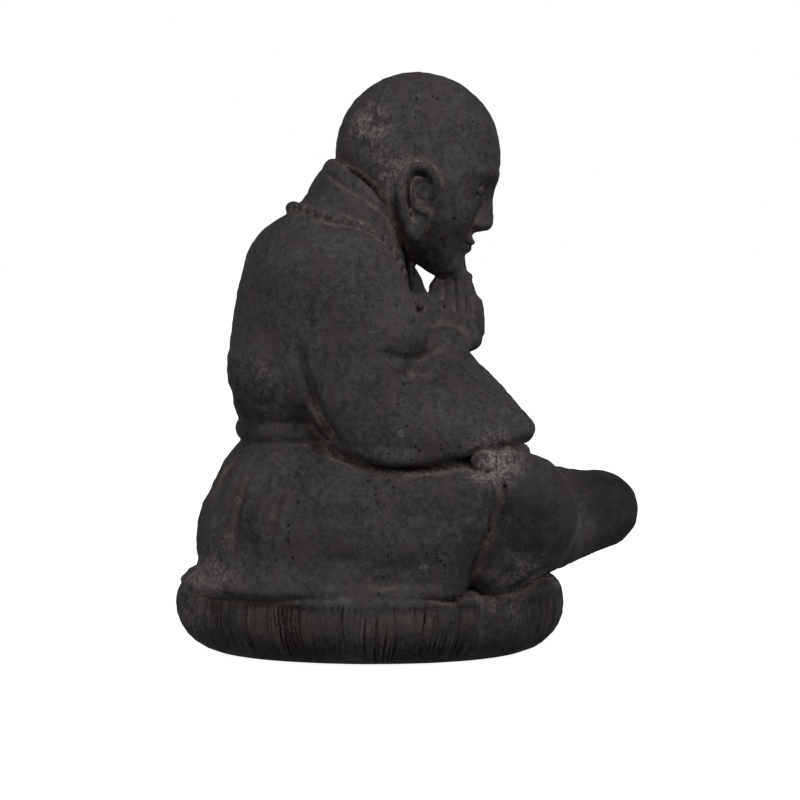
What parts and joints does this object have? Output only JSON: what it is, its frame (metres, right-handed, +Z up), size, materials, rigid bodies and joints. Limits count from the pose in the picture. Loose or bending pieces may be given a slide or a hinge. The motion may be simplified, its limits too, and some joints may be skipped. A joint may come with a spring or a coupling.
{
  "type": "garden monk statue",
  "caption": "Cast stone garden statue of a seated monk in a robe, head bowed over palms pressed together, cross-legged on an oval straw cushion.",
  "frame": {"origin": "middle of the cushion's flat underside", "axes": "+Z up, the monk faces -Y, its right side is -X"},
  "size_m": [0.28, 0.3401, 0.4211],
  "materials": {
    "dark_stone": "matt, dark volcanic stone casting with fine pinholes, a pale bloom on the back of the head and dry brown earth in the creases"
  },
  "bodies": {
    "root": {"monk_statue": "dark_stone"}
  },
  "joints": []
}
